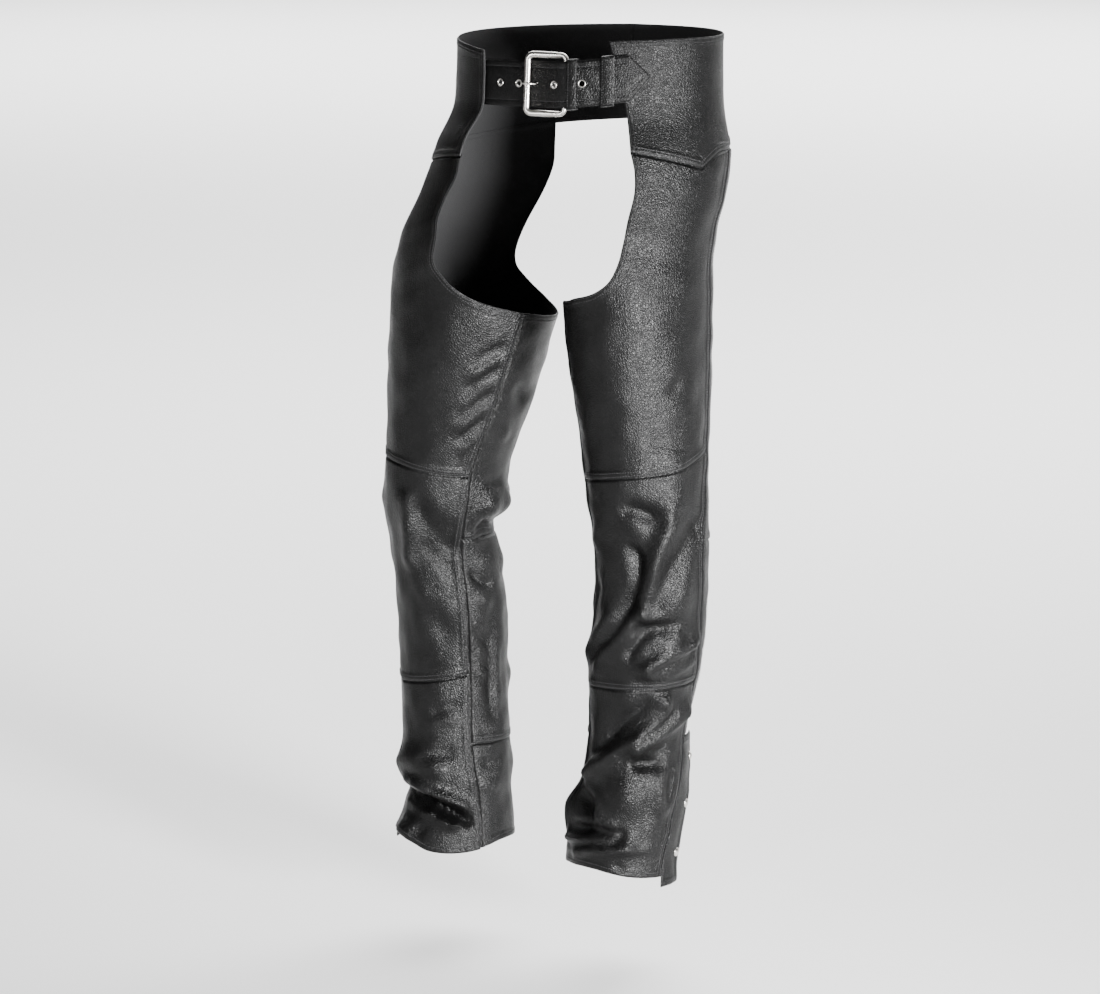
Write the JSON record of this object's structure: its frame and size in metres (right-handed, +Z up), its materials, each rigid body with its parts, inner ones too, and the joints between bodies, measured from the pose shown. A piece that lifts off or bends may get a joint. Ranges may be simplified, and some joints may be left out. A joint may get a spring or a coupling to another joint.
{
  "type": "leather riding chaps",
  "caption": "Black leather riding chaps with hip yokes, a buckled front belt and snap flaps at the ankles, hollow and shaped as worn.",
  "frame": {"origin": "middle of the waist at the height of the belt's centre line, where the wearer holds the garment", "axes": "+Z up, the front faces -Y, and the wearer's left side is +X"},
  "size_m": [0.4022, 0.2706, 0.9615],
  "materials": {
    "black_leather": "pebble grain, semi-gloss",
    "satin_nickel": "satin nickel plate"
  },
  "bodies": {
    "root": {"back_lower_left": "black_leather", "back_lower_right": "black_leather", "back_middle_left": "black_leather", "back_middle_right": "black_leather", "belt_strap": "black_leather", "buckle_frame": "satin_nickel", "buckle_strap": "black_leather", "buckle_tongue": "satin_nickel", "cuff_front_left": "black_leather", "cuff_front_right": "black_leather", "eyelet_1": "satin_nickel", "eyelet_2": "satin_nickel", "eyelet_3": "satin_nickel", "eyelet_4": "satin_nickel", "keeper_inner": "black_leather", "keeper_outer": "black_leather", "shin_front_left": "black_leather", "shin_front_right": "black_leather", "side_strip_left": "black_leather", "side_strip_right": "black_leather", "snap_flap_left": "black_leather", "snap_flap_right": "black_leather", "snap_low_left": "satin_nickel", "snap_low_right": "satin_nickel", "snap_middle_left": "satin_nickel", "snap_middle_right": "satin_nickel", "snap_top_left": "satin_nickel", "snap_top_right": "satin_nickel", "thigh_back_left": "black_leather", "thigh_back_right": "black_leather", "thigh_front_left": "black_leather", "thigh_front_right": "black_leather", "yoke_left": "black_leather", "yoke_right": "black_leather"}
  },
  "joints": []
}
